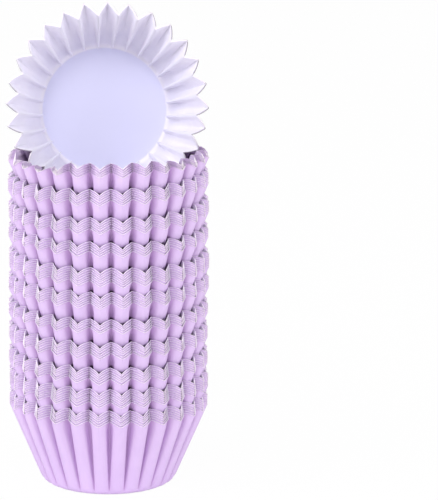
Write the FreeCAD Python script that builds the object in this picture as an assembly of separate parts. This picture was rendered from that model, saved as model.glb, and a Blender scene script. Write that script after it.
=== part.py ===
import FreeCAD, Part
import math
import os

# A stack of small paper cupcake liners, in millimetres, +Z up.
# The origin is the middle of the bottom of the lowest liner, on the surface that
# the stack stands on. The open side of the leaning liner faces -Y.

# One liner: a round base and a pleated wall that opens upwards.
pleats = 28
paper = 0.1                 # thickness of the greaseproof paper
base_radius = 16.4          # where the wall would meet the base if the fold were sharp
fold_radius = 3.0           # the base rounds into the wall with this radius
fold_steps = 2              # in this many facets
rim_height = 20.0           # height of the rim at the tip of a pleat
rim_radius = 25.0           # the pleats end in points at this radius
rim_pleat_depth = 2.85      # and the folds between them lie this far inside
rim_rise = 1.1              # the cut edge stands higher at the folds between
flat_height = 13.5          # up to here each pleat has a flat front
flat_share = 0.75           # width of the flat front, as a share of one pleat
flare = 0.3                 # the front bows in this far before it opens to the rim
groove_depth = 2.3          # depth of the groove beside the top of a flat front

# A bundle is several liners pressed into each other, held as one piece.
nest_step = 0.57            # how far each liner stands above the one round it
edge_tuck = 0.35            # the inner edges sit this far behind the outermost rim

# From the bottom up: the liners in a bundle, and how far its outermost rim
# stands above the innermost rim of the bundle that it is pushed into.
bundles = (
    (6, 0.0),
    (7, 2.15),
    (6, 2.6),
    (6, 3.55),
    (5, 3.55),
    (6, 4.0),
    (7, 2.6),
    (5, 4.1),
    (6, 3.4),
    (6, 4.25),
    (5, 4.15),
)
stack_turn = -3.45          # the bundles are turned from the front by this many degrees

# The single liner on top lies on its side in the open top of the stack.
leaning_tilt = 14.8         # its opening looks up by this many degrees
leaning_turn = 3.9          # and to the right by this many
leaning_spin = -0.95        # and it is turned about its own axis by this many
leaning_aside = -0.2        # it lies this far right of the stack's axis
leaning_bite = 0.05         # its points reach this far between the pleats beside it
leaning_gap = 0.1           # between its base and the pleats behind it

period = 360.0 / pleats
rim_groove_radius = rim_radius - rim_pleat_depth
wall_slope = (rim_radius - base_radius) / rim_height
wall_angle = math.atan2(1.0, wall_slope)
flat_radius = base_radius - fold_radius * math.tan(wall_angle / 2.0)
front_radius = base_radius + wall_slope * flat_height - flare
shoulder_radius = front_radius / math.cos(math.radians(flat_share * period / 2.0))
groove_radius = front_radius - groove_depth


def point(radius, height, pleat, share):
    """A point at a pleat's tip (share 0) or towards its grooves (share -1 and 1)."""
    angle = math.radians(270.0 + period * (pleat + share / 2.0))
    return FreeCAD.Vector(radius * math.cos(angle), radius * math.sin(angle), height)


def facet(*corners):
    """One flat piece of folded paper between creases."""
    return Part.Face(Part.makePolygon(list(corners) + [corners[0]]))


class Skin:
    """The creases of one side of a liner's paper, lifted and set in from the outside."""

    def __init__(self, lift=0.0, inset=0.0):
        self.lift = lift
        self.inset = inset

    def tip(self, pleat):
        return point(rim_radius - self.inset, rim_height + self.lift, pleat, 0.0)

    def groove_top(self, pleat):
        height = rim_height + rim_rise + self.lift
        return point(rim_groove_radius - self.inset, height, pleat, 1.0)

    def groove(self, pleat):
        return point(groove_radius - 2.0 * self.inset, flat_height + self.lift, pleat, 1.0)

    def side_share(self, radius):
        """Corners of the flat front, drawn in by the paper beside them."""
        half_pleat = math.radians(period / 2.0) * radius
        return flat_share - self.inset / half_pleat

    def shoulder(self, pleat, side):
        radius = shoulder_radius - self.inset
        share = side * self.side_share(radius)
        return point(radius, flat_height + self.lift, pleat, share)

    def fold_middle(self, pleat, bend):
        """Above the middle of a pleat, from the base (bend 0) to the wall (bend 1)."""
        angle = bend * wall_angle
        rounding = fold_radius - self.inset
        radius = flat_radius + rounding * math.sin(angle)
        height = fold_radius - rounding * math.cos(angle)
        return point(radius, height + self.lift, pleat, 0.0)

    def fold_corner(self, pleat, side, bend):
        """The same on one side of the flat front."""
        middle = self.fold_middle(pleat, bend)
        radius = math.hypot(middle.x, middle.y)
        return point(radius, middle.z, pleat, side * self.side_share(radius))

    def foot(self, pleat, side):
        return self.fold_corner(pleat, side, 1.0)

    def pointed_wall(self, pleat):
        """From the flat fronts up to the pointed rim."""
        left, right = self.shoulder(pleat, -1), self.shoulder(pleat, 1)
        groove, groove_top = self.groove(pleat), self.groove_top(pleat)
        next_left, next_tip = self.shoulder(pleat + 1, -1), self.tip(pleat + 1)
        return [
            facet(left, right, self.tip(pleat)),
            facet(right, groove_top, self.tip(pleat)),
            facet(right, groove, groove_top),
            facet(groove, next_left, groove_top),
            facet(next_left, next_tip, groove_top),
        ]

    def fluted_wall(self, pleat):
        """The flat front of one pleat and the groove beside it."""
        left, right = self.shoulder(pleat, -1), self.shoulder(pleat, 1)
        groove, next_left = self.groove(pleat), self.shoulder(pleat + 1, -1)
        foot, next_foot = self.foot(pleat, 1), self.foot(pleat + 1, -1)
        return [
            facet(self.foot(pleat, -1), foot, right, left),
            facet(foot, groove, right),
            facet(foot, next_foot, groove),
            facet(next_foot, next_left, groove),
        ]

    def fold(self, pleat):
        """The rounded fold between the base and the wall, in steps of its bend."""
        faces = []
        for step in range(fold_steps):
            low, high = step / fold_steps, (step + 1) / fold_steps
            left, right = [self.fold_corner(pleat, side, low) for side in (-1, 1)]
            top_left, top_right = [self.fold_corner(pleat, side, high) for side in (-1, 1)]
            beside, top_beside = [self.fold_corner(pleat + 1, -1, bend) for bend in (low, high)]
            faces.append(facet(left, right, top_right, top_left))
            faces.append(facet(right, beside, top_beside, top_right))
        return faces

    def folded(self):
        """The whole skin with its rounded fold."""
        faces = []
        corners = []
        for pleat in range(pleats):
            faces += self.pointed_wall(pleat)
            faces += self.fluted_wall(pleat)
            faces += self.fold(pleat)
            corners += [self.fold_corner(pleat, -1, 0.0), self.fold_corner(pleat, 1, 0.0)]
        return faces + [facet(*corners)]

    def unfolded(self):
        """The whole skin with a sharp fold, as inside a bundle."""
        faces = []
        corners = []
        for pleat in range(pleats):
            faces += self.pointed_wall(pleat)
            faces += self.fluted_wall(pleat)
            corners += [self.foot(pleat, -1), self.foot(pleat, 1)]
        return faces + [facet(*corners)]

    def hidden(self):
        """The whole skin where its lower half is out of sight in the bundle below.

        The flat fronts run down to a point each, on a plainer base."""
        faces = []
        for pleat in range(pleats):
            left, right = self.shoulder(pleat, -1), self.shoulder(pleat, 1)
            groove, next_left = self.groove(pleat), self.shoulder(pleat + 1, -1)
            here, beside = self.fold_middle(pleat, 1.0), self.fold_middle(pleat + 1, 1.0)
            faces += self.pointed_wall(pleat)
            faces += [
                facet(here, right, left),
                facet(here, groove, right),
                facet(here, beside, groove),
                facet(beside, next_left, groove),
            ]
        return faces + [facet(*[self.fold_middle(pleat, 1.0) for pleat in range(pleats)])]


def rim_line(scale, lift):
    """Tips and grooves of a cut edge, drawn in towards the axis by the scale."""
    tips = []
    grooves = []
    for pleat in range(pleats + 1):
        tips.append(point(scale * rim_radius, rim_height + lift, pleat, 0.0))
        height = rim_height + scale * rim_rise + lift
        grooves.append(point(scale * rim_groove_radius, height, pleat, 1.0))
    return tips, grooves


def strip(lower, upper):
    """Flat facets between two cut edges, one on each side of every pleat."""
    faces = []
    for pleat in range(pleats):
        low_tip, low_groove, low_next = lower[0][pleat], lower[1][pleat], lower[0][pleat + 1]
        top_tip, top_groove, top_next = upper[0][pleat], upper[1][pleat], upper[0][pleat + 1]
        faces.append(facet(low_tip, low_groove, top_groove, top_tip))
        faces.append(facet(low_groove, low_next, top_next, top_groove))
    return faces


def cut_edge(outside, inside):
    """The thin top edge of the paper, from its outer to its inner side."""
    faces = []
    for pleat in range(pleats):
        tip, groove, beside = outside.tip(pleat), outside.groove_top(pleat), outside.tip(pleat + 1)
        in_tip, in_groove = inside.tip(pleat), inside.groove_top(pleat)
        in_beside = inside.tip(pleat + 1)
        faces += [
            facet(tip, groove, in_groove),
            facet(tip, in_groove, in_tip),
            facet(groove, beside, in_groove),
            facet(beside, in_beside, in_groove),
        ]
    return faces


def solid_of(faces):
    """Sews the facets into one closed solid with its faces outwards."""
    shell = Part.Shell(faces)
    shell.sewShape()
    solid = Part.Solid(shell)
    if solid.Volume < 0:
        solid.reverse()
    return solid


def single_liner():
    """One liner of plain paper, standing on its base."""
    outside, inside = Skin(), Skin(inset=paper)
    return solid_of(outside.folded() + inside.folded() + cut_edge(outside, inside))


def bundle(liners, base_shows):
    """Liners pressed into each other: the outermost wall, then the band of edges."""
    band = nest_step * (liners - 1)
    tuck_scale = 1.0 - edge_tuck / rim_radius
    outermost, innermost = Skin(), Skin(lift=band)
    faces = outermost.folded() if base_shows else outermost.hidden()
    faces += strip(rim_line(1.0, 0.0), rim_line(tuck_scale, 0.0))
    faces += strip(rim_line(tuck_scale, 0.0), rim_line(1.0, band))
    inside = Skin(lift=band, inset=paper)
    faces += cut_edge(innermost, inside)
    faces += inside.unfolded()
    return solid_of(faces)


def resting_place():
    """Height over the top rim, and way in front of the axis, of the leaning rim's centre.

    Its points reach down between the pleats on both sides, and the fold round its base
    meets the pleats behind it."""
    tilt = math.radians(leaning_tilt)
    half_chord = rim_groove_radius + leaning_bite
    rise = math.cos(tilt) * math.sqrt(rim_radius ** 2 - half_chord ** 2)
    inner_radius = rim_groove_radius - paper - leaning_gap
    forward = 0.0
    for step in range(fold_steps + 1):
        middle = Skin().fold_middle(0, step / fold_steps)
        radius = math.hypot(middle.x, middle.y)
        behind = rim_height - middle.z
        drop = rise / math.cos(tilt) - behind * math.tan(tilt)
        back = math.sqrt(inner_radius ** 2 - radius ** 2 + drop ** 2)
        forward = max(forward, behind * math.cos(tilt) - drop * math.sin(tilt) - back)
    return rise, forward


def lay_in_top(liner, top_rim):
    """Turns the single liner on its side and sets it into the top of the stack."""
    middle = FreeCAD.Vector(0, 0, 0)
    upwards = FreeCAD.Vector(0, 0, 1)
    rise, forward = resting_place()
    liner.translate(FreeCAD.Vector(0, 0, -rim_height))
    liner.rotate(middle, upwards, leaning_spin)
    liner.rotate(middle, FreeCAD.Vector(1, 0, 0), 90.0 - leaning_tilt)
    liner.rotate(middle, upwards, leaning_turn)
    liner.translate(FreeCAD.Vector(leaning_aside, -forward, top_rim + rise))
    return liner


def save(shape, name):
    shape.exportStep(os.path.join("parts", name + ".step"))
    box = shape.BoundBox
    print(name, len(shape.Faces), "faces", shape.isValid(), round(shape.Volume, 1), "mm3",
          "z", round(box.ZMin, 2), "to", round(box.ZMax, 2))


os.makedirs("parts", exist_ok=True)

inner_rim = rim_height
for number, (liners, stands_out) in enumerate(bundles, start=1):
    base_height = inner_rim + stands_out - rim_height
    pressed = bundle(liners, base_shows=(number == 1))
    pressed.translate(FreeCAD.Vector(0, 0, base_height))
    pressed.rotate(FreeCAD.Vector(0, 0, 0), FreeCAD.Vector(0, 0, 1), stack_turn)
    save(pressed, "liner_bundle_%02d" % number)
    inner_rim = base_height + rim_height + nest_step * (liners - 1)

save(lay_in_top(single_liner(), inner_rim), "leaning_liner")
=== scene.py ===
# %% [markdown]
# A stack of paper cupcake liners
# The stack is eleven bundles of small pleated liners pushed into each other, with one more
# liner lying on its side in the open top. The measured model comes from the frame: every
# bundle and the lying liner are nodes there. This lesson dresses each node in thin paper
# shells, so that the band of cut edges, the narrow grooves and the pointed rims show.

# %% Load the frame
import math
import random

import bmesh
import bpy
from mathutils import Matrix, Vector


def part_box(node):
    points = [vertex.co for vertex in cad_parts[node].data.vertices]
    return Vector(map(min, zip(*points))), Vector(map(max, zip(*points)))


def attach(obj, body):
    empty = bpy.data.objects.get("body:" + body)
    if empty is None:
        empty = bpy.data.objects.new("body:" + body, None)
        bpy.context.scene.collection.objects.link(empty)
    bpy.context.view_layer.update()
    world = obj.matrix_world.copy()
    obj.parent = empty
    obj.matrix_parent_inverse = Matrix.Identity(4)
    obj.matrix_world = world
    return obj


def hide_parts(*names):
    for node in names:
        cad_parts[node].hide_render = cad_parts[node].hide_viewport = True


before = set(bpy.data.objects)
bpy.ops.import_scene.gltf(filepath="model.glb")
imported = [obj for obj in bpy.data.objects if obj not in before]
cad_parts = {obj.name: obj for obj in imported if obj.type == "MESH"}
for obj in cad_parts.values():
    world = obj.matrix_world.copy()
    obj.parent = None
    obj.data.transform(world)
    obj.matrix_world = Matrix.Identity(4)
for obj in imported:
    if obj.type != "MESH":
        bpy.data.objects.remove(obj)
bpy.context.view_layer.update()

mm = 0.001
bundle_nodes = sorted(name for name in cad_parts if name.startswith("liner_bundle_"))
top_node = bundle_nodes[-1]

# %% [markdown]
# The shape of one liner
# A liner is a disc of paper pressed between two fluted dies. Its base stays flat, a rounded
# fold runs round it, and the wall gathers into 28 pleats with broad fronts and narrow grooves
# between them. The disc was cut round before it was pressed. A groove takes up less height
# than a pleat's tip, so the cut edge rises over each groove.

# %% Sizes of one liner
PLEATS = 28
PLEAT_ANGLE = 360.0 / PLEATS
RIM_HEIGHT = 20.0 * mm
RIM_RADIUS = 25.0 * mm
WALL_RADIUS = 16.4 * mm  # where the wall's line meets the plane of the base
FOLD = 3.0 * mm
TIGHT_FOLD = 1.5 * mm  # the lying liner's, which no other liner presses

WALL_SLOPE = (RIM_RADIUS - WALL_RADIUS) / RIM_HEIGHT
WALL_ANGLE = math.atan2(1.0, WALL_SLOPE)


def height_of_fold(fold):
    """How high a fold of this radius reaches up the wall."""
    return fold * (1.0 - math.cos(WALL_ANGLE))


FOOT_HEIGHT = height_of_fold(FOLD)
WALL_HEIGHT = RIM_HEIGHT - FOOT_HEIGHT
print("wall's angle:", round(math.degrees(WALL_ANGLE), 1), "degrees")
print("fold's height:", round(FOOT_HEIGHT / mm, 2), "mm")

# %% [markdown]
# Two small helpers
# Paper bends in even curves, so nearly every size below fades from one value to another. One
# function says how far a value is on its way, and the other one blends two sizes. Curves drawn
# by hand could do it too, but a formula is shared by all 66 liners.

# %% Blending
def smooth_step(value, start, end):
    """0 before start, 1 after end, and an even curve between them."""
    t = min(max((value - start) / (end - start), 0.0), 1.0)
    return t * t * (3.0 - 2.0 * t)


def between(start, end, share):
    return start + (end - start) * share


# %% [markdown]
# Creases that run up the wall
# The wall is told by lines that run from the base to the rim, and each line is a crease that
# keeps its part in the pleat: 0 is the middle of a front, FRONT its edge, BOTTOM the corner at
# the bottom of the groove and 1 the groove's middle. A front narrows as it climbs, so a line's
# share of the pleat changes with the height, and the creases stay sharp all the way.

# %% Lines round one liner
FRONT = 0.6
BOTTOM = 0.8
LINES = (0.0, 0.12, 0.35, 0.5, FRONT, 0.7, BOTTOM)


def full_circle_of_places():
    """Pleat number and signed line of each vertical line of the wall, once round."""
    places = []
    for pleat in range(PLEATS):
        places += [(pleat, line) for line in LINES]
        places.append((pleat, 1.0))
        places += [(pleat + 1, -line) for line in reversed(LINES[1:])]
    return places


PLACES = full_circle_of_places()
print("lines round one liner:", len(PLACES))

# %% [markdown]
# Two ways for a wall to reach its rim
# In a bundle the liners are pressed against each other, so a pleat keeps its broad front up
# to the rim, and near the rim its middle springs out into a point. The lying liner is free:
# its pleats open into plain points. Both are one class with a few sizes each. All of it comes
# down to a share, a radius and a height for each line at each climb, where climb runs from 0
# at the fold to 1 at the rim.

# %% The pleat as a formula
FRONT_SHARES = (0.86, 0.58)  # half width of a front as a share of half a pleat, foot and rim
BOTTOM_SHARES = (0.97, 0.86)  # the same for the corner at the bottom of the groove
OPENS_FROM = 0.05
NOSE_FROM = 0.84
BELLY = 0.3 * mm  # how far a rounded front falls back at its edges
FREE_POWER = 1.12  # over 1 the free points are slightly rounded
START_CLIMB = 0.03  # a groove has begun this much below the fold's end
START_POWER = 0.8
RISE_POWER = 2.3
FULL_RISE_AT = 0.8


class Pleats:
    """Share, radius and height of the paper on each line, from the fold to the rim."""

    def __init__(self, groove_depth, rim_depth, nose, opening, fold, onset, rim_rise,
                 narrowing=0.0, dip=1.0):
        self.groove_depth = groove_depth
        self.rim_depth = rim_depth
        self.nose = nose
        self.opening = opening
        self.fold = fold
        self.onset = onset
        self.rim_rise = rim_rise
        self.narrowing = narrowing
        self.dip = dip
        self.foot_height = height_of_fold(fold)
        self.wall_height = RIM_HEIGHT - self.foot_height

    def opened(self, climb):
        return self.opening * smooth_step(climb, OPENS_FROM, 1.0)

    def share(self, line, climb):
        """Where a line runs, from 0 in the pleat's middle to 1 in the groove's."""
        front = between(*FRONT_SHARES, climb) - self.narrowing
        bottom = between(*BOTTOM_SHARES, climb) - self.narrowing
        if line <= FRONT:
            pressed = front * line / FRONT
        elif line <= BOTTOM:
            pressed = between(front, bottom, (line - FRONT) / (BOTTOM - FRONT))
        else:
            pressed = between(bottom, 1.0, (line - BOTTOM) / (1.0 - BOTTOM))
        return between(pressed, line, self.opened(climb))

    def fall(self, line, climb):
        """How far the paper lies behind the tip's radius."""
        on_front = min(line / FRONT, 1.0)
        free = line ** FREE_POWER
        in_groove = min(max((line - FRONT) / (BOTTOM - FRONT), 0.0), 1.0)
        in_groove = between(in_groove, free, self.opened(climb))
        depth = self.groove_depth * min(1.0, self.onset * (climb + START_CLIMB)) ** START_POWER
        wall = depth * in_groove + BELLY * on_front ** 2 * (1.0 - self.opening)
        behind_nose = (self.rim_depth - self.nose) * smooth_step(line, FRONT, 1.0)
        rim = between(self.nose * on_front + behind_nose, self.rim_depth * free, self.opening)
        return between(wall, rim, smooth_step(climb, NOSE_FROM, 1.0))

    def radius(self, line, climb):
        height = self.foot_height + climb * self.wall_height
        return WALL_RADIUS + WALL_SLOPE * height - self.fall(line, climb)

    def rise(self, line, climb):
        """How much higher the paper stands than at the pleat's tip."""
        share = self.share(line, climb)
        pointed = 1.0 - (1.0 - share) ** RISE_POWER
        across = between(smooth_step(share, 0.0, 1.0), pointed, self.dip)
        return self.rim_rise * across * min(1.0, climb / FULL_RISE_AT) ** 2

    def height(self, line, climb):
        return self.foot_height + climb * self.wall_height + self.rise(line, climb)


# %% [markdown]
# Sizes for the two kinds
# In a bundle the outermost liner has the shallowest rim. Towards the innermost one the points
# stand out more and their dips get deeper, which the band of edges shows. Each liner's fronts
# are a little narrower than those of the one outside it, so that the walls don't touch.

# %% Pressed and free pleats
GROOVE_DEPTH = 2.1 * mm
RIM_DEPTHS = (2.1 * mm, 2.4 * mm)  # these pairs go from the outermost liner to the innermost
NOSES = (0.55 * mm, 0.95 * mm)
DIPS = (0.35, 1.0)
NARROWER = 0.014  # share of half a pleat, once more for each liner further in


def pressed_pleats(layer, liners):
    """The pleats of a pressed liner, counted inwards from the outermost, which is 0."""
    inwards = layer / (liners - 1)
    return Pleats(groove_depth=GROOVE_DEPTH, rim_depth=between(*RIM_DEPTHS, inwards),
                  nose=between(*NOSES, inwards), opening=0.0, fold=FOLD, onset=1.5,
                  rim_rise=1.1 * mm, narrowing=NARROWER * layer, dip=between(*DIPS, inwards))


FREE = Pleats(groove_depth=2.75 * mm, rim_depth=2.9 * mm, nose=0.0, opening=1.0,
              fold=TIGHT_FOLD, onset=5.0, rim_rise=1.6 * mm)
print("free rim's valleys at radius:", round(FREE.radius(1.0, 1.0) / mm, 2), "mm")

# %% [markdown]
# What each vertex knows
# The paper's look changes along the wall in ways that follow the folding, and most of it is
# painted light: the cut edge gets a painted highlight where light reaches it and painted shade
# where not, a groove gets painted shade, the floor is bluer, and a wall inside the liner outside
# it gets dark painted shade. So each ring of vertices carries a few marks, numbers from 0 to 1
# that the materials read.

# %% Marks and rings
# four of these marks paint light: a painted highlight and painted shade on the edge, painted
# shade in gaps and painted shade in grooves; the last one gives the floor its bluer tone
MARKS = ("cut_edge", "shaded_edge", "tucked", "in_groove", "on_floor")


class Ring:
    """One closed ring of a shell: a place for each line, and marks for all or for each."""

    def __init__(self, places, **marks):
        self.places = places
        self.marks = marks

    def put(self, vertices, layers):
        for number, vertex in enumerate(vertices):
            vertex.co = self.places[number]
            for name, level in self.marks.items():
                vertex[layers[name]] = level[number] if isinstance(level, list) else level


class Stance:
    """How a bundle sits in the stack: its lift, its turn and how much its rim tips."""

    def __init__(self, lift=0.0, turn=0.0, tip=0.0):
        self.lift = lift
        self.turn = math.radians(turn)
        self.tip = math.tan(math.radians(tip))

    def place(self, radius, height, pleat, share, climb=0.0):
        angle = math.radians(270.0 + PLEAT_ANGLE * (pleat + share / 2.0)) + self.turn
        x = radius * math.cos(angle)
        y = radius * math.sin(angle)
        return Vector((x, y, height + self.lift + self.tip * x * climb))


# %% [markdown]
# Rings of the wall
# A ring asks the formulas for every line and adds what its liner's own dents say. The rim is
# followed by one more ring, moved a little outwards and down: that is the lip, the soft curl
# that a blade leaves on a cut edge. It catches the light as a fine line, and a painted highlight
# on it makes that line paler.

# %% Wall, rim and lip
# painted shade in the grooves, where little light reaches: a share of it begins on the front
# already
SOFT_SHADE = 0.3  # share of a groove's tone that already begins on the front
SOFT_FROM = 0.2
FLANK_WIDTH = 0.15


def groove_shade_on_line(line):
    """How strong the painted groove shade is on a line: a little towards the front's edge, fully
    in the groove.
    """
    soft = SOFT_SHADE * smooth_step(line, SOFT_FROM, FRONT)
    return soft + (1.0 - SOFT_SHADE) * smooth_step(line, FRONT, BOTTOM)


def wall_ring(shape, climb, dents, stance, groove_shade_strength=1.0, **marks):
    """One ring of the pleated wall."""
    places = []
    groove = []
    for pleat, line in PLACES:
        out, up, along = dents(pleat, line, climb)
        across = abs(line)
        radius = shape.radius(across, climb) + out
        share = math.copysign(shape.share(across, climb), line)
        share += along / (math.pi / PLEATS * radius)
        height = shape.height(across, climb) + up
        places.append(stance.place(radius, height, pleat, share, climb))
        # painted shade in the groove, scaled for this liner
        groove.append(groove_shade_strength * groove_shade_on_line(across))
    return Ring(places, in_groove=groove, **marks)


def away_from_wall(ring):
    """Level directions square to a ring, away from the axis."""
    count = len(ring.places)
    found = []
    for number in range(count):
        along = ring.places[(number + 1) % count] - ring.places[number - 1]
        found.append(Vector((along.y, -along.x, 0.0)).normalized())
    return found


def lip_ring(rim, out, down, **marks):
    """The rim's ring once more, moved square to the rim, outwards and down."""
    below = Vector((0.0, 0.0, -down))
    places = []
    for place, away in zip(rim.places, away_from_wall(rim)):
        places.append(place + away * out + below)
    return Ring(places, **marks)


# %% [markdown]
# The base and its fold
# The fold is an arc from the flat base to the wall. The grooves already begin in it, so that
# they don't start at a clean ring. The floor's tone ends early in the fold.

# %% Rings of the base
FOLD_BENDS = (0.0, 0.25, 0.5, 0.75)
FLOOR_TONE_ENDS = 0.25
MIDDLE_OF_BASE = 0.85  # the flat base is one face up to this share of its radius


def base_rings(shape, stance):
    """The flat base and the fold round it."""
    lines = []
    for pleat, line in PLACES:
        share = math.copysign(shape.share(abs(line), 0.0), line)
        lines.append((pleat, share, shape.fall(abs(line), 0.0)))
    flat_radius = WALL_RADIUS - shape.fold * math.tan(WALL_ANGLE / 2.0)
    arcs = [(0.0, MIDDLE_OF_BASE * flat_radius, 0.0)]
    for bend in FOLD_BENDS:
        angle = bend * WALL_ANGLE
        radius = flat_radius + shape.fold * math.sin(angle)
        arcs.append((bend, radius, shape.fold * (1.0 - math.cos(angle))))
    rings = []
    for bend, radius, height in arcs:
        places = [stance.place(radius - bend * fall, height, pleat, share)
                  for pleat, share, fall in lines]
        rings.append(Ring(places, on_floor=max(1.0 - bend / FLOOR_TONE_ENDS, 0.0)))
    return rings


# %% [markdown]
# Growing a shell ring by ring
# Spinning a profile round the axis would give a smooth cup, but pleats need a place of their
# own for every line. So a shell starts from a circle, whose ring is extruded upwards once for
# each further ring. The circle has one vertex for each line, so the operator makes all the
# faces, and the formulas above only say where the vertices go. Only what can be seen is grown:
# the lowest liner and the one at the very top have a base, and the others start below the rim
# that hides them.

# %% Shell builder
def new_sheet():
    """An empty mesh with a layer for each mark."""
    bm = bmesh.new()
    layers = {name: bm.verts.layers.float.new(name) for name in MARKS}
    return bm, layers


def in_order(fresh, order):
    """The new vertices of an extrusion in the order of those they came from."""
    links = {}
    for vertex in fresh:
        for edge in vertex.link_edges:
            other = edge.other_vert(vertex)
            if other in order:
                links[vertex] = order[other]
    return sorted(fresh, key=links.get)


def face_outwards(bm, faces):
    """Makes the faces of one shell agree, with the wall facing away from the axis."""
    bmesh.ops.recalc_face_normals(bm, faces=faces)
    away = 0.0
    for face in faces:
        middle = face.calc_center_median()
        away += face.normal.x * middle.x + face.normal.y * middle.y
    if away < 0.0:
        bmesh.ops.reverse_faces(bm, faces=faces)


def grow_shell(bm, layers, rings, with_base):
    """One liner's paper as an open surface, its outer side outwards."""
    old_faces = len(bm.faces)
    old_edges = len(bm.edges)
    made = bmesh.ops.create_circle(bm, cap_ends=with_base, segments=len(PLACES), radius=1.0)
    ring = made["verts"]
    edges = bm.edges[:][old_edges:]
    rings[0].put(ring, layers)
    for wanted in rings[1:]:
        order = {vertex: number for number, vertex in enumerate(ring)}
        grown = bmesh.ops.extrude_edge_only(bm, edges=edges)["geom"]
        edges = [item for item in grown if isinstance(item, bmesh.types.BMEdge)]
        ring = in_order([item for item in grown if isinstance(item, bmesh.types.BMVert)], order)
        wanted.put(ring, layers)
    face_outwards(bm, bm.faces[:][old_faces:])


# %% [markdown]
# Writing shader maths as plain expressions
# A material is a graph of nodes, and its sums are easier to read as Python. The small class
# below holds one socket, and its operators add the Math nodes for it. Its method node makes
# any other node, and a few short ones name those that this paper needs. A Wire without a
# socket stands for the empty tree, from which the first nodes are made.

# %% Sockets that can be added and multiplied
class Wire:
    """One output of a node, with arithmetic that adds Math nodes."""

    def __init__(self, tree, socket=None):
        self.tree = tree
        self.socket = socket

    def node(self, kind, settings=None, inputs=None, output=0):
        """Adds a node, sets its settings first, then its inputs by name or number."""
        made = self.tree.nodes.new(kind)
        for name, value in (settings or {}).items():
            setattr(made, name, value)
        for name, value in (inputs or {}).items():
            target = made.inputs[name]
            if isinstance(value, Wire):
                self.tree.links.new(value.socket, target)
            else:
                target.default_value = value
        return Wire(self.tree, made.outputs[output])

    def math(self, operation, other):
        return self.node("ShaderNodeMath", {"operation": operation}, {0: self, 1: other})

    def __add__(self, other):
        return self.math("ADD", other)

    __radd__ = __add__

    def __mul__(self, other):
        return self.math("MULTIPLY", other)

    __rmul__ = __mul__

    def noise(self, scale, detail, roughness=0.5):
        return self.node("ShaderNodeTexNoise", {},
                         {"Vector": self, "Scale": scale, "Detail": detail,
                          "Roughness": roughness})

    def mark(self, name):
        """A number that each vertex carries."""
        return self.node("ShaderNodeAttribute", {"attribute_name": name}, {}, output=2)

    def remap(self, low, high, to_low, to_high):
        return self.node("ShaderNodeMapRange", {},
                         {0: self, 1: low, 2: high, 3: to_low, 4: to_high})

    def mix_colour(self, first, second):
        """A colour between two, with this value as the share of the second."""
        return self.node("ShaderNodeMix", {"data_type": "RGBA"},
                         {0: self, 6: first, 7: second}, output=2)


def start_material(name):
    """A new material, its Principled shader, its tree and its Object coordinates."""
    material = bpy.data.materials.new(name)
    material.use_nodes = True
    tree = material.node_tree
    shader = tree.nodes["Principled BSDF"]
    return material, shader, tree, Wire(tree).node("ShaderNodeTexCoord", output="Object")


def linear(red, green, blue):
    """A colour given as the eye sees it, 0 to 255, in the linear values that Blender uses."""
    values = []
    for level in (red, green, blue):
        part = level / 255.0
        values.append(part / 12.92 if part <= 0.04045 else ((part + 0.055) / 1.055) ** 2.4)
    return (*values, 1.0)


# %% [markdown]
# Greaseproof paper, dyed lilac
# The outside is matt lilac paper with fine fibres. The inside is the paler side that meets the
# cake, with a slight gloss from its coating, and its floor looks bluer than its wall. The cut
# edge is painted paler still, a painted highlight where the edge catches the light. Fibres are
# noise at a tenth of a millimetre, which feeds a Bump node, and a slow, faint change of tone
# runs over every sheet. The marks on the vertices then choose between these tones, and most of
# them paint light: painted shade in grooves and gaps, and a painted highlight and painted shade
# on the edge. A painted picture could do that too, but the marks follow the folds by themselves
# and stay sharp from close by.

# %% Tones of the paper
LILAC = linear(223, 199, 239)
LILAC_DEEP = linear(217, 192, 235)
# painted shade in the grooves of the outside
PAINTED_GROOVE_SHADE = linear(201, 168, 215)
# dark painted shade for a wall that goes into the liner outside it
PAINTED_GAP_SHADE = linear(70, 45, 80)
# painted highlight on the cut edge
EDGE_HIGHLIGHT = linear(253, 243, 254)
# painted shade on the lying liner's edge where it looks away from the light
EDGE_SHADED = linear(110, 96, 120)
INSIDE = linear(248, 245, 254)
INSIDE_DEEP = linear(240, 237, 250)
# painted shade in the grooves of the inside
INSIDE_PAINTED_GROOVE_SHADE = linear(243, 240, 251)
# painted shade: the inside of the top bundle, darkened where little light falls
PAINTED_SHADE_INSIDE = linear(196, 176, 210)  # inside the stack's top, where little light falls
FLOOR_TONE = linear(224, 224, 252)
print("lilac in linear values:", [round(level, 3) for level in LILAC[:3]])

# %% Paper materials
FIBRE_SCALE = 9000.0
FIBRE_RELIEF = 0.02 * mm
FIBRE_STRENGTH = 0.25
CLOUD_SCALE = 130.0
CLOUD_SHARE = 0.7
TONE_RANGE = (0.35, 0.65)  # the noise's usual values, spread out to the two tones
ROUGH_RANGE = (0.3, 0.7)
ROUGH_SWING = 0.06
COAT_ROUGHNESS = 0.3
SPECULAR = 0.35


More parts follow.
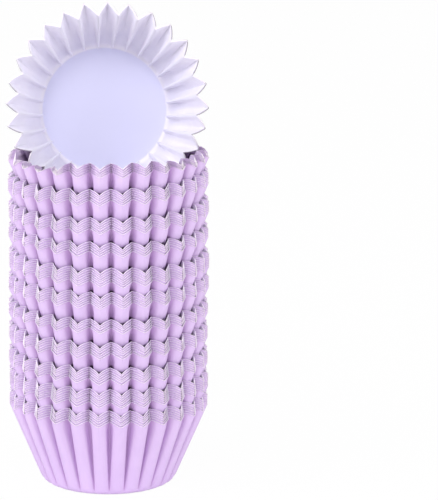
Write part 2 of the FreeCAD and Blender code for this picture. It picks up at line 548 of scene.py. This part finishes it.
def paper_material(name, tones, groove, floor_tone, roughness, coat=0.0):
    material, shader, tree, place = start_material(name)
    cloud = place.noise(CLOUD_SCALE, detail=3.0)
    fibre = place.noise(FIBRE_SCALE, detail=4.0, roughness=0.65)
    tone = (cloud * CLOUD_SHARE + fibre * (1.0 - CLOUD_SHARE)).remap(*TONE_RANGE, 0.0, 1.0)
    colour = tone.mix_colour(*tones)
    # painted shade in the grooves
    colour = place.mark("in_groove").mix_colour(colour, groove)
    colour = place.mark("on_floor").mix_colour(colour, floor_tone)
    # dark painted shade in the gaps between sheets
    colour = place.mark("tucked").mix_colour(colour, PAINTED_GAP_SHADE)
    # painted highlight on the cut edge; on the lying liner only where the edge looks into the
    # light
    edge = place.mark("cut_edge")
    colour = (edge * edge).mix_colour(colour, EDGE_HIGHLIGHT)
    # painted shade on the side of the edge away from the light
    colour = place.mark("shaded_edge").mix_colour(colour, EDGE_SHADED)
    tree.links.new(colour.socket, shader.inputs["Base Color"])
    rough = fibre.remap(*ROUGH_RANGE, roughness - ROUGH_SWING, roughness + ROUGH_SWING)
    tree.links.new(rough.socket, shader.inputs["Roughness"])
    bump = fibre.node("ShaderNodeBump", {}, {"Height": fibre, "Strength": FIBRE_STRENGTH,
                                             "Distance": FIBRE_RELIEF})
    tree.links.new(bump.socket, shader.inputs["Normal"])
    shader.inputs["Coat Weight"].default_value = coat
    shader.inputs["Coat Roughness"].default_value = COAT_ROUGHNESS
    shader.inputs["Specular IOR Level"].default_value = SPECULAR
    return material


outside_paper = paper_material("lilac_outside", (LILAC, LILAC_DEEP), PAINTED_GROOVE_SHADE, LILAC,
                               roughness=0.62)
inside_paper = paper_material("pale_inside", (INSIDE, INSIDE_DEEP), INSIDE_PAINTED_GROOVE_SHADE, FLOOR_TONE,
                              roughness=0.5, coat=0.25)
# the top bundle's inside, painted in shade
painted_shade_inside = paper_material("painted_shade_inside", (PAINTED_SHADE_INSIDE, PAINTED_SHADE_INSIDE), PAINTED_SHADE_INSIDE, FLOOR_TONE,
                             roughness=0.6)
# the faces of the cut rim, in the pale tone of the painted edge highlight
cut_paper = paper_material("cut_edge", (EDGE_HIGHLIGHT, EDGE_HIGHLIGHT), LILAC, EDGE_HIGHLIGHT, roughness=0.7)
print("materials:", [material.name for material in bpy.data.materials])

# %% [markdown]
# From a sheet to a piece
# The shells are surfaces without thickness. A second skin inside each could be built by hand,
# but a Solidify modifier gives the paper's thickness in one step. It also sorts the materials:
# the new inner side gets the second one and the cut rim the third.

# %% Finishing a piece
def finish_piece(bm, name, node, thickness, inside):
    """Turns a bmesh into a piece of paper with an outside, an inside and a cut edge."""
    mesh = bpy.data.meshes.new(name)
    bm.to_mesh(mesh)
    bm.free()
    for polygon in mesh.polygons:
        polygon.use_smooth = True
    piece = bpy.data.objects.new(name, mesh)
    bpy.context.scene.collection.objects.link(piece)
    for material in (outside_paper, inside, cut_paper):
        mesh.materials.append(material)
    sheet = piece.modifiers.new("paper", "SOLIDIFY")
    sheet.thickness = thickness
    sheet.offset = -1.0
    sheet.material_offset = 1
    sheet.material_offset_rim = 2
    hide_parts(node)
    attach(piece, "root")
    print(piece.name, "faces:", len(mesh.polygons))


# %% [markdown]
# How the bundles sit
# How many liners a bundle holds follows from the frame: the bundle's height above one liner
# is the band of cut edges, and each edge stands a little over half a millimetre above the
# one round it. Each bundle sits a little turned and tipped against its neighbours, as a stack
# put together by hand does. A rim's points hang a touch lower than the solid's.

# %% Sizes of the bundles
NEST_STEP = 0.57 * mm
CAD_RISE = 1.1 * mm  # the solid's cut edge over a groove, above its tips
NOSE_DIP = 0.2 * mm
PRESSED_PAPER = 0.06 * mm
LIP_OUT = 0.13 * mm
LIP_DOWN = 0.05 * mm
STACK_TURN = -3.45
TURNS = (-0.83, -0.35, -0.42, 0.09, 0.2, 0.39, 0.36, 0.05, 0.25, 0.01, 0.24)
TIPS = (-0.74, -1.17, -0.66, -0.4, -0.56, -0.21, -0.91, -0.8, 0.93, 1.49, 0.5)
HIDDEN_BELOW = 1.0 - NEST_STEP / WALL_HEIGHT
print("a nested liner shows above climb", round(HIDDEN_BELOW, 3))

# %% [markdown]
# Small dents
# All liners of one bundle share the same small dents, as pressed paper does, and each has
# finer ones of its own. A dent is a random offset of one pleat, which grows towards the rim
# and blends into the next pleat's in the groove. A Displace modifier would bend the creases
# too, and this keeps them straight. Each liner's draw starts from its own seed, so the stack
# comes out the same every time.

# %% Dents
BUNDLE_SEED = 100
LINER_SEED = 1000
BUNDLE_DENTS = (0.14 * mm, 0.1 * mm)  # outwards and up
LINER_DENTS = (0.03 * mm, 0.09 * mm)
DENT_POWER = 3


def no_dents(pleat, line, climb):
    return 0.0, 0.0, 0.0


def unevenness(seed, sizes, shared=no_dents):
    """Small smooth offsets for each pleat, outwards, up and along, growing towards the rim."""
    out_size, up_size = sizes
    draw = random.Random(seed)
    outs = [draw.uniform(-out_size, out_size) for _ in range(PLEATS)]
    ups = [draw.uniform(-up_size, up_size) for _ in range(PLEATS)]

    def offset(pleat, line, climb):
        here = pleat % PLEATS
        beside = (here + (1 if line > 0 else -1)) % PLEATS
        keep = 1.0 - 0.5 * abs(line)
        out = outs[here] * keep + outs[beside] * (1.0 - keep)
        up = ups[here] * keep + ups[beside] * (1.0 - keep)
        shared_out, shared_up, along = shared(pleat, line, climb)
        grown = climb ** DENT_POWER
        return out * grown + shared_out, up * grown + shared_up, along

    return offset


# %% [markdown]
# The top bundle's hollow
# The lying liner was pushed into the open top, and its edge has pressed the innermost liners
# down at the left, at the back and a little at the right. The outermost liner stays where it
# is, and each one further in sinks more. The cup narrows downwards, so what sinks also moves
# inwards.

# %% Sinking rims
SINK_LEFT = 2.6 * mm
SINK_RIGHT = 0.9 * mm
SINK_BACK = 2.6 * mm
LEFT_FROM = (0.3, 0.75)  # how far to a side, as a share of the radius, a sink begins and is full
LEFT_UNTIL = (0.86, 0.97)
RIGHT_FROM = (0.4, 0.75)
BACK_FROM = (-0.4, 0.3)
DRAWN_IN = 0.45
SINK_POWER = 2


def sink_of_rim(to_right, to_back):
    """How far the innermost rim has sunk in one direction."""
    left = SINK_LEFT * smooth_step(-to_right, *LEFT_FROM)
    left *= 1.0 - smooth_step(-to_right, *LEFT_UNTIL)
    right = SINK_RIGHT * smooth_step(to_right, *RIGHT_FROM)
    return max(left + right, SINK_BACK * smooth_step(to_back, *BACK_FROM))


def sunken(share, dents):
    """The dents of a liner of the top bundle, sunk by a share of the innermost one's sink."""

    def offset(pleat, line, climb):
        out, up, along = dents(pleat, line, climb)
        angle = math.radians(PLEAT_ANGLE * (pleat + line / 2.0) + STACK_TURN)
        sink = sink_of_rim(math.sin(angle), -math.cos(angle)) * share * climb ** SINK_POWER
        return out - DRAWN_IN * sink, up - sink, along

    return offset


print("deepest sink:", SINK_LEFT / mm, "mm")

# %% [markdown]
# Where a wall gets painted shade
# The wall of a bundle comes up out of the bundle below. Just below that rim it gets dark painted
# shade, most of all behind a rim's point and in a groove, where the gap is widest. A nested
# liner gets painted shade as far as the next one out covers it, and then shows a narrow strip
# and its edge. Rows are pairs of climb and the strength of that painted shade.

# %% Rows of the walls
WALL_ROWS = (0.0, 0.04, 0.12, 0.24, 0.38, 0.52, 0.66, 0.77, 0.84, 0.88, 0.92, 0.955, 0.99)
RIM_ROWS = (0.84, 0.88, 0.92, 0.955, 0.99)
ENTRY_ROWS = ((-0.16, 1.0), (-0.022, 1.0), (-0.008, 0.5), (0.002, 0.0))  # from the rim's climb
NESTED_ROWS = ((0.8, 1.0), (0.9, 1.0), (HIDDEN_BELOW - 0.004, 0.35), (HIDDEN_BELOW + 0.004, 0.0),
               (0.988, 0.0))
CLEAR_OF_ENTRY = 0.02
# painted shade on the topmost liner's wall, which the lying liner keeps from the light, up to
# near its rim
INSIDE_DARK = 0.8  # inside the topmost liner, up to near its rim
INSIDE_DARK_UNTIL = 0.95
NARROW_GAP = (0.12, 0.45)
LEAST_GAP = 0.1


def gap_share(line):
    """How wide the gap round a wall that goes into the liner outside it is on a line, as a share
    of its widest; it scales the painted shade there.
    """
    behind_point = 1.0 - smooth_step(line, *NARROW_GAP)
    return max(behind_point, smooth_step(line, FRONT, BOTTOM), LEAST_GAP)


def plain_rows():
    return [(climb, 0.0) for climb in WALL_ROWS]


# rows of the topmost liner, with painted shade on its wall below the rim
def topmost_rows():
    return [(climb, INSIDE_DARK if climb < INSIDE_DARK_UNTIL else 0.0) for climb in WALL_ROWS]


def entering_rows(entry):
    """Rows of a wall that comes out of the bundle below at the climb given."""
    rows = [(entry + climb, dark) for climb, dark in ENTRY_ROWS]
    return rows + [(climb, 0.0) for climb in RIM_ROWS if climb > entry + CLEAR_OF_ENTRY]


# %% [markdown]
# One bundle
# Every liner is a stack of rings up to its rim and lip. On a groove's steep flank the edges of
# all layers fall together, so the painted edge highlight fades there, as it would else turn into
# a white streak. A nested liner's grooves get less painted shade than the outermost one's,
# because light reaches the band from above.

# %% Dressing a bundle
# how much of the painted edge highlight fades on a groove's flank
FLANK_FADE = 0.8
NESTED_GROOVE_SHADE = 0.45


def flank_share(line):
    """1 on the steep flank of a groove, 0 on the front and in the groove's middle."""
    return smooth_step(line, FRONT - FLANK_WIDTH, FRONT) * (1.0 - smooth_step(line, BOTTOM, 1.0))


def pressed_rings(shape, dents, stance, rows, groove_shade_strength):
    """Rings of a pressed wall from its rows to its rim and lip."""
    rings = []
    for climb, dark in rows:
        # painted shade in the gap, strongest where the gap is widest
        levels = [dark * gap_share(abs(line)) for pleat, line in PLACES]
        rings.append(wall_ring(shape, climb, dents, stance, groove_shade_strength, tucked=levels))
    steep = [flank_share(abs(line)) for pleat, line in PLACES]
    # painted highlight on the edge, faded on the flanks
    pale = [1.0 - FLANK_FADE * share for share in steep]
    rim = wall_ring(shape, 1.0, dents, stance, cut_edge=pale)
    # on the rim the painted groove shade lies only on the flanks
    rim.marks["in_groove"] = steep
    return rings + [rim, lip_ring(rim, LIP_OUT, LIP_DOWN, cut_edge=pale, in_groove=steep)]


def dress_bundle(number, node, rim_below):
    """Makes the liners of one bundle and returns the height of its innermost rim."""
    low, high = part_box(node)
    innermost_rim = high.z - CAD_RISE
    base = low.z if rim_below is None else low.z - FOOT_HEIGHT
    liners = 1 + round((innermost_rim - base - RIM_HEIGHT) / NEST_STEP)
    step = (innermost_rim - NOSE_DIP - base - RIM_HEIGHT) / (liners - 1)
    together = unevenness(BUNDLE_SEED + number, BUNDLE_DENTS)
    bm, layers = new_sheet()
    for layer in range(liners):
        shape = pressed_pleats(layer, liners)
        dents = unevenness(LINER_SEED * number + layer, LINER_DENTS, together)
        if node == top_node:
            dents = sunken(layer / (liners - 1), dents)
        stance = Stance(base + layer * step, STACK_TURN + TURNS[number - 1], TIPS[number - 1])
        lowest = layer == 0 and rim_below is None
        topmost = layer == liners - 1 and node == top_node
        rings = base_rings(shape, stance) if lowest or topmost else []
        if topmost:
            rows = topmost_rows()
        elif lowest:
            rows = plain_rows()
        elif layer == 0:
            rows = entering_rows((rim_below - base - FOOT_HEIGHT) / WALL_HEIGHT)
        else:
            rows = NESTED_ROWS
        groove_shade_strength = 1.0 if layer == 0 else NESTED_GROOVE_SHADE
        rings += pressed_rings(shape, dents, stance, rows, groove_shade_strength)
        grow_shell(bm, layers, rings, with_base=lowest or topmost)
    # the top bundle's inside gets painted shade
    inside = painted_shade_inside if node == top_node else inside_paper
    finish_piece(bm, "pressed_liners_%02d" % number, node, PRESSED_PAPER, inside)
    print("  liners:", liners, "innermost rim at", round(innermost_rim / mm, 2), "mm")
    return innermost_rim


rim_below = None
for number, node in enumerate(bundle_nodes, start=1):
    rim_below = dress_bundle(number, node, rim_below)

# %% [markdown]
# The lying liner's rim
# The last liner lies on its side with its open face to the front, and nothing presses its
# pleats, so its points stand unevenly. How far each point is from its even place was measured
# in the photograph for those that show. The rest have small dents at random.

# %% Uneven points
FIRST_TIP = 6  # the pleat at the lower right, from which the tips are counted over the top
TIPS_OUT = (-0.27, -0.09, -0.13, 0.01, 0.33, 0.19, 0.2, 0.21, 0.27, 0.58, 0.2, 0.11, 0.13, 0.14,
            -0.07, 0.02, 0.16, 0.18)
TIPS_ALONG = (-0.15, -0.62, -0.17, 0.43, 0.3, 0.33, 0.2, 0.59, 0.16, 0.35, 0.1, 0.11, -0.06,
              -0.32, 0.25, -0.12, -0.02, -0.21)
LYING_SEED = 7
LYING_DENTS = (0.25 * mm, 0.15 * mm)
TIP_POWER = 2


def tip_offsets(sizes):
    """One offset for each pleat of a liner, in metres, from sizes in millimetres."""
    offsets = [0.0] * PLEATS
    for number, size in enumerate(sizes):
        offsets[FIRST_TIP + number] = size * mm
    return offsets


def measured_tips(dents):
    """The offsets seen at the tips, with small dents between and beside them."""
    outs = tip_offsets(TIPS_OUT)
    alongs = tip_offsets(TIPS_ALONG)

    def offset(pleat, line, climb):
        out, up, _ = dents(pleat, line, climb)
        here = pleat % PLEATS
        near_tip = (1.0 - abs(line)) * climb ** TIP_POWER
        return out * abs(line) + outs[here] * near_tip, up, alongs[here] * near_tip

    return offset


lying_dents = measured_tips(unevenness(LYING_SEED, LYING_DENTS))
print("measured tips:", len(TIPS_OUT), "of", PLEATS)

# %% [markdown]
# The lying liner's place
# It is built upright like the others, and its vertices are then turned and moved to where the
# frame holds it. Its box in the frame gives the place: the top of the box is the highest point
# of the rim, and its front the lowest.

# %% Place of the lying liner
LEAN = math.radians(14.8)
TURN = math.radians(3.9)
SPIN = math.radians(-0.95)
ASIDE = -0.2 * mm
CAD_GROOVE_RADIUS = 22.15 * mm  # of the solid's rim, whose box is asked


def lying_place():
    """The turn and move that take an upright liner to the lying one's place."""
    low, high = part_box("leaning_liner")
    forward = math.cos(TURN) * math.cos(LEAN)
    reach = CAD_GROOVE_RADIUS * math.sqrt(1.0 - forward ** 2) + CAD_RISE * forward
    centre = Vector((ASIDE, low.y + reach, high.z - RIM_RADIUS * math.cos(LEAN)))
    upright = Matrix.Translation((0.0, 0.0, -RIM_HEIGHT))
    spin = Matrix.Rotation(SPIN, 4, "Z")
    tip = Matrix.Rotation(math.radians(90.0) - LEAN, 4, "X")
    turn = Matrix.Rotation(TURN, 4, "Z")
    print("lying rim's centre in mm:", [round(side / mm, 2) for side in centre])
    return Matrix.Translation(centre) @ turn @ tip @ spin @ upright


# %% [markdown]
# The lying liner itself
# A free rim has a broader curl. It gets a painted highlight where it looks up and to the left,
# into the light, and painted shade where it looks down.

# %% Lying liner
PAPER = 0.1 * mm
LYING_LIP_OUT = 0.2 * mm
LYING_LIP_DOWN = 0.1 * mm
# the direction the painted light comes from, in the upright liner's frame
LIT_FROM = Vector((-0.35, 0.94, 0.0))
SHADE_RANGE = (-0.6, 0.5)
# the rim gets this share of its lip's painted shade
SHADE_ON_RIM = 0.4  # the rim's own shade, as a share of its lip's


def shade_of_rim(rim):
    """How much painted shade and how much painted highlight each place on the lip gets."""
    shaded = [smooth_step(-away.dot(LIT_FROM), *SHADE_RANGE) for away in away_from_wall(rim)]
    return shaded, [1.0 - level for level in shaded]


bm, layers = new_sheet()
level = Stance()
rings = base_rings(FREE, level)
rings += [wall_ring(FREE, climb, lying_dents, level) for climb in WALL_ROWS]
rim = wall_ring(FREE, 1.0, lying_dents, level)
shaded, lit = shade_of_rim(rim)
# painted highlight and painted shade on the rim and its lip
rim.marks.update(cut_edge=lit, shaded_edge=[SHADE_ON_RIM * share for share in shaded])
rings += [rim, lip_ring(rim, LYING_LIP_OUT, LYING_LIP_DOWN, cut_edge=lit, shaded_edge=shaded)]
grow_shell(bm, layers, rings, with_base=True)
bmesh.ops.transform(bm, matrix=lying_place(), verts=bm.verts)
finish_piece(bm, "lying_liner", "leaning_liner", PAPER, inside_paper)

# %% [markdown]
# A plain pale stage
# The stack stands on a white floor in front of a white world. What the camera sees directly
# is white, and what lights the object is set apart from that, so that the background can be
# bright without washing the paper out. The floor keeps a share of its own shading, and so the
# object's shadow.

# %% Floor and world
scene = bpy.context.scene
scene.view_settings.view_transform = "Standard"
WHITE = (1.0, 1.0, 1.0, 1.0)
FLOOR_WHITE = linear(250, 247, 250)
FLOOR_SIZE = 3.0
FLOOR_GLOW = 0.97
FLOOR_ROUGHNESS = 0.9
AMBIENT = 0.62


def seen_directly(tree):
    """1 where the camera, a reflection or a view through glass looks, and 0 elsewhere."""
    camera_ray = Wire(tree).node("ShaderNodeLightPath", output="Is Camera Ray")
    glossy_ray = Wire(tree).node("ShaderNodeLightPath", output="Is Glossy Ray")
    through_ray = Wire(tree).node("ShaderNodeLightPath", output="Is Transmission Ray")
    return camera_ray.math("MAXIMUM", glossy_ray).math("MAXIMUM", through_ray)


def build_floor():
    bm = bmesh.new()
    bmesh.ops.create_grid(bm, x_segments=1, y_segments=1, size=FLOOR_SIZE)
    mesh = bpy.data.meshes.new("floor")
    bm.to_mesh(mesh)
    bm.free()
    floor = bpy.data.objects.new("floor", mesh)
    scene.collection.objects.link(floor)
    material, shader, tree, place = start_material("floor_white")
    shader.inputs["Base Color"].default_value = FLOOR_WHITE
    shader.inputs["Roughness"].default_value = FLOOR_ROUGHNESS
    glow = place.node("ShaderNodeEmission", {}, {"Color": WHITE, "Strength": 1.0})
    share = seen_directly(tree) * FLOOR_GLOW
    mixed = share.node("ShaderNodeMixShader", {}, {0: share, 1: Wire(tree, shader.outputs[0]),
                                                   2: glow})
    output = tree.nodes["Material Output"]
    tree.links.new(mixed.socket, output.inputs["Surface"])
    mesh.materials.append(material)


def build_world(ambient):
    world = bpy.data.worlds.new("studio")
    world.use_nodes = True
    tree = world.node_tree
    back = tree.nodes["Background"]
    back.inputs["Color"].default_value = WHITE
    level = seen_directly(tree).remap(0.0, 1.0, ambient, 1.0)
    tree.links.new(level.socket, back.inputs["Strength"])
    scene.world = world


build_floor()
build_world(AMBIENT)
print("floor:", 2.0 * FLOOR_SIZE, "m wide, ambient light:", AMBIENT)

# %% [markdown]
# Three soft lamps
# Light from both sides makes the outer half of each pleat brighter than the half that looks
# into a groove. The key lamp at the left is stronger than the fill lamp at the right. The
# third lamp stands in front and above, and fills the lying liner's floor. A single lamp in
# front would have left the pleats flat.

# %% Lamps
LAMPS = {
    "key": (Vector((-0.75, -0.45, 0.5)), 3.4),
    "fill": (Vector((0.8, -0.4, 0.25)), 2.2),
    "front": (Vector((-0.15, -0.85, 0.8)), 4.0),
}
LAMP_SIZE = 0.5
MIDDLE_OF_STACK = Vector((0.0, 0.0, 0.06))


def soft_lamp(name, place, watts):
    light = bpy.data.lights.new(name, "AREA")
    light.shape = "SQUARE"
    light.size = LAMP_SIZE
    light.energy = watts
    lamp = bpy.data.objects.new(name, light)
    lamp.location = place
    lamp.rotation_euler = (MIDDLE_OF_STACK - place).to_track_quat("-Z", "Y").to_euler()
    scene.collection.objects.link(lamp)


for name, (place, watts) in LAMPS.items():
    soft_lamp(name, place, watts)
print("lamps:", ", ".join(LAMPS))

# %% [markdown]
# The camera
# Its place was worked out from the photograph: how fast the rims of the stack shrink with
# depth gives its distance, and how round they look gives its height. It stands to the right
# of this stack and looks down a little, and it was held a third of a degree out of level.

# %% Camera
CAMERA_PLACE = Vector((27.57, -1000.0, 293.8)) * mm
CAMERA_PITCH = math.radians(13.2)
CAMERA_ROLL = math.radians(0.35)
FOCAL_PIXELS = 4115.0
PICTURE_HEIGHT = 500.0
SENSOR = 36.0
CLIP_START = 0.01

camera_data = bpy.data.cameras.new("camera")
camera_data.sensor_width = SENSOR
camera_data.lens = FOCAL_PIXELS / PICTURE_HEIGHT * SENSOR
camera_data.clip_start = CLIP_START
camera = bpy.data.objects.new("camera", camera_data)
looks_down = Matrix.Rotation(math.radians(90.0) - CAMERA_PITCH, 4, "X")
rolled = Matrix.Rotation(CAMERA_ROLL, 4, "Z")
camera.matrix_world = Matrix.Translation(CAMERA_PLACE) @ looks_down @ rolled
scene.collection.objects.link(camera)
scene.camera = camera
print("lens:", round(camera_data.lens, 1), "mm")

# %% [markdown]
# Last checks
# The end

# %% Finish
print("the scene is built")
